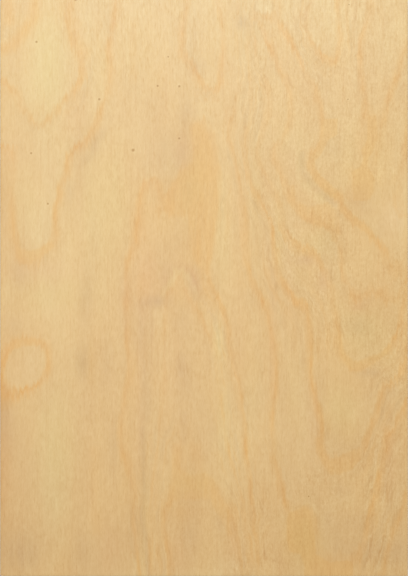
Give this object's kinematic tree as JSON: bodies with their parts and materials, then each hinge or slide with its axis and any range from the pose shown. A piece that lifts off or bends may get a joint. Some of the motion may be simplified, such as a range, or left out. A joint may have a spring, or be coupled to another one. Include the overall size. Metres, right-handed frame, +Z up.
{
  "type": "plywood sheet",
  "caption": "Flat rectangular birch plywood sheet of cross-laminated veneers, with a clear rotary-cut show face, square sawn edges that show the plies, and eased arrises.",
  "frame": {"origin": "middle of the back, where the sheet rests on the floor", "axes": "+Y along the face grain and the sheet's length, +X across the grain, +Z up through the thickness to the show face"},
  "size_m": [0.297, 0.42, 0.012],
  "materials": {
    "birch_veneer": "satin"
  },
  "bodies": {
    "root": {"plywood_sheet": "birch_veneer"}
  },
  "joints": []
}
